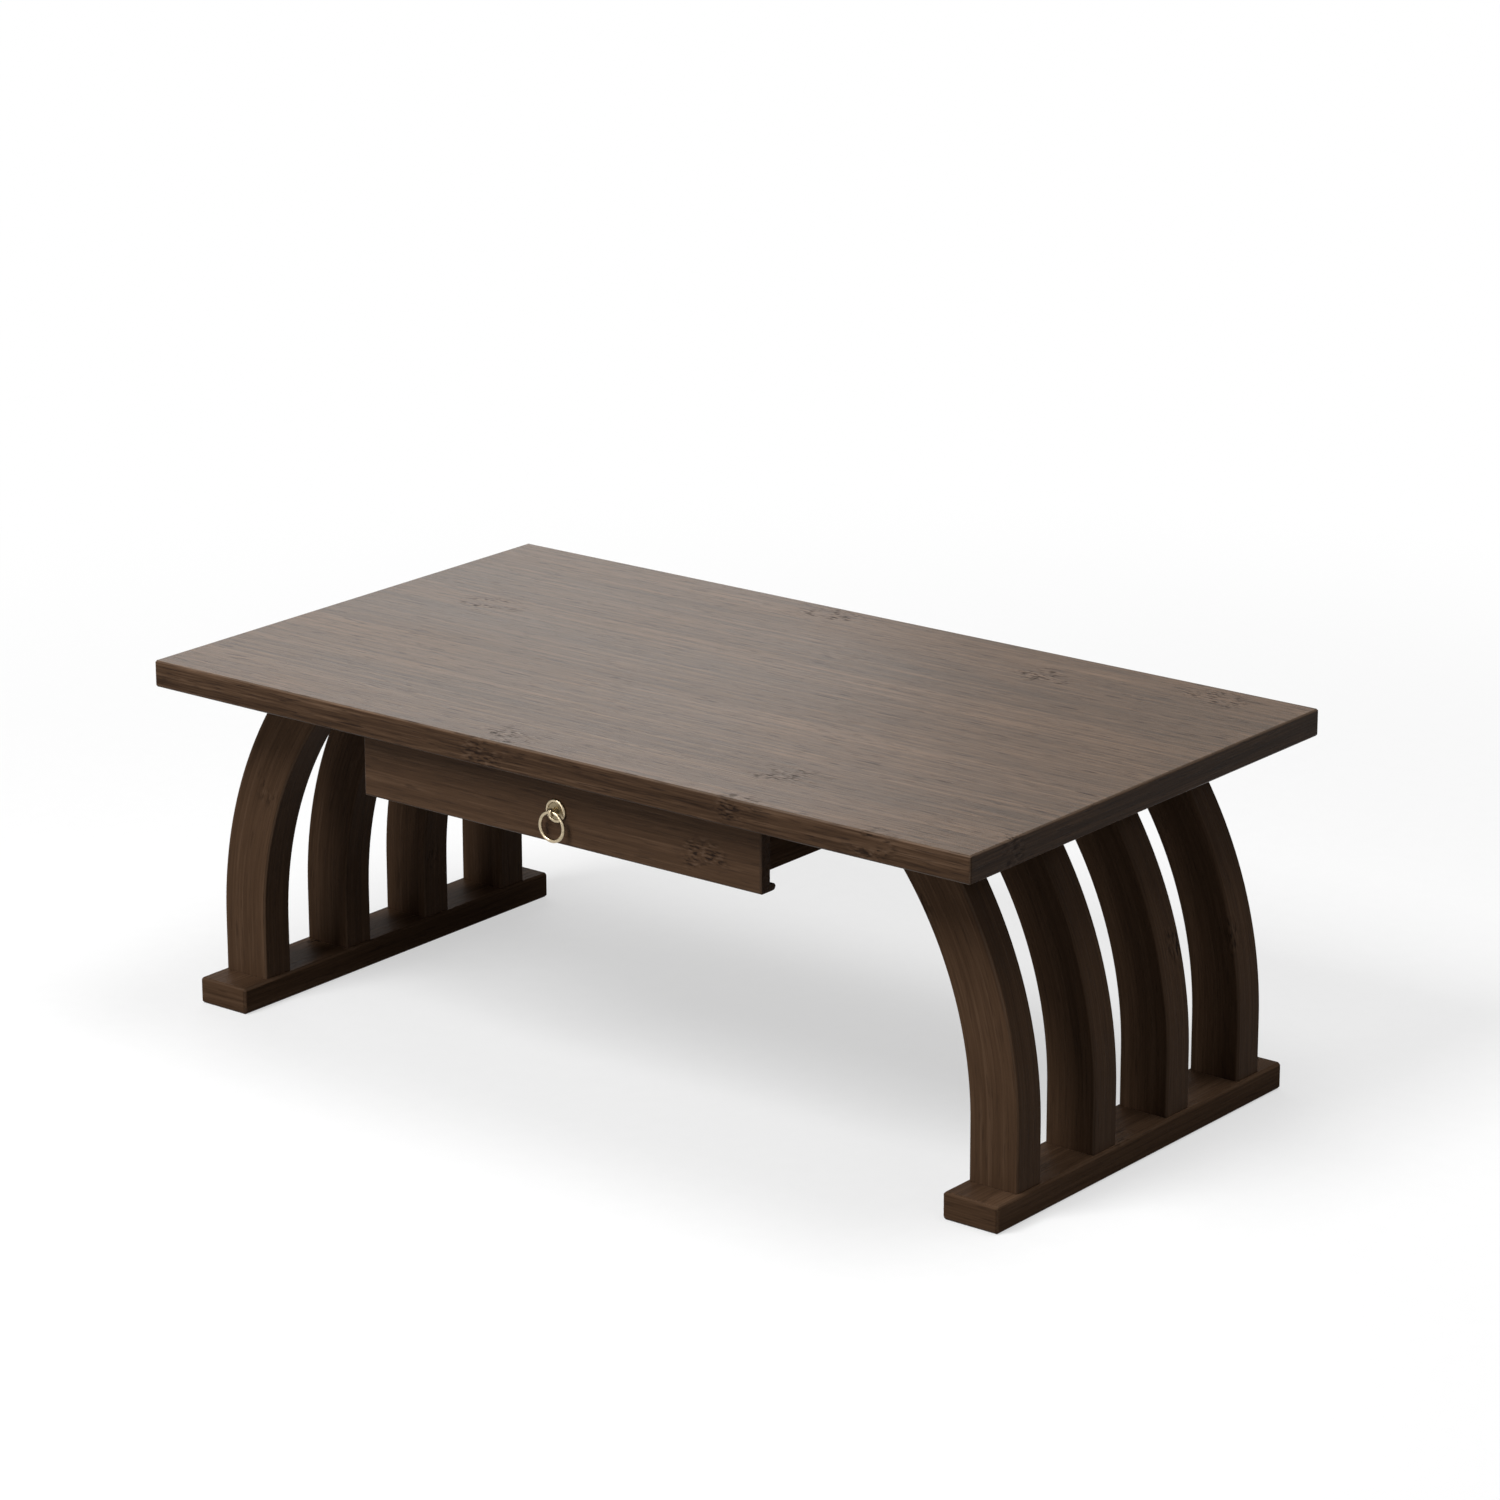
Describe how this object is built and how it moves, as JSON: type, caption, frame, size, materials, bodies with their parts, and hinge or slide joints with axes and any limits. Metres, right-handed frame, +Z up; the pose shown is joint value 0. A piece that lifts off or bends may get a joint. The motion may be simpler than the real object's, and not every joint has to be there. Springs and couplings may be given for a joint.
{
  "type": "low table with drawer",
  "caption": "Low rectangular dark bamboo table on rows of bent slat legs set in flat foot rails, with a shallow drawer hung under the top and a brass ring pull.",
  "frame": {"origin": "on the floor under the centre of the top", "axes": "+X along the length of the top, +Y to the back, away from the drawer front, +Z up"},
  "size_m": [0.8, 0.455, 0.3],
  "materials": {
    "dark_bamboo": "satin dark walnut stain",
    "drawer_board": "matt dark stain",
    "dowel_wood": "raw",
    "antique_brass": "antique brushed",
    "zinc_steel": "zinc plated"
  },
  "bodies": {
    "table": {"tabletop": "dark_bamboo", "left_leg_1": "dark_bamboo", "left_leg_2": "dark_bamboo", "left_leg_3": "dark_bamboo", "left_leg_4": "dark_bamboo", "right_leg_1": "dark_bamboo", "right_leg_2": "dark_bamboo", "right_leg_3": "dark_bamboo", "right_leg_4": "dark_bamboo", "left_foot_rail": "dark_bamboo", "right_foot_rail": "dark_bamboo", "left_top_rail": "dark_bamboo", "right_top_rail": "dark_bamboo", "left_runner": "dark_bamboo", "right_runner": "dark_bamboo", "frame_bolts": "zinc_steel", "frame_inserts": "zinc_steel", "runner_screws": "zinc_steel"},
    "drawer": {"drawer_front": "dark_bamboo", "drawer_left_side": "drawer_board", "drawer_right_side": "drawer_board", "drawer_back": "drawer_board", "drawer_bottom": "drawer_board", "drawer_left_strip": "drawer_board", "drawer_right_strip": "drawer_board", "strip_screws": "zinc_steel", "drawer_dowels": "dowel_wood", "drawer_bottom_screws": "zinc_steel", "pull_plate": "antique_brass", "pull_eye_bolt": "antique_brass", "pull_washer": "antique_brass", "pull_nut": "antique_brass"},
    "ring": {"pull_ring": "antique_brass"}
  },
  "joints": [
    {"name": "drawer_slide", "type": "slide", "parent": "table", "child": "drawer", "axis": [0, -1, 0], "range_m": [0, 0.23]},
    {"name": "ring_swing", "type": "hinge", "parent": "drawer", "child": "ring", "pos_m": [0, -0.2123, 0.24875], "axis": [-1, 0, 0], "range_deg": [-10, 180]}
  ]
}
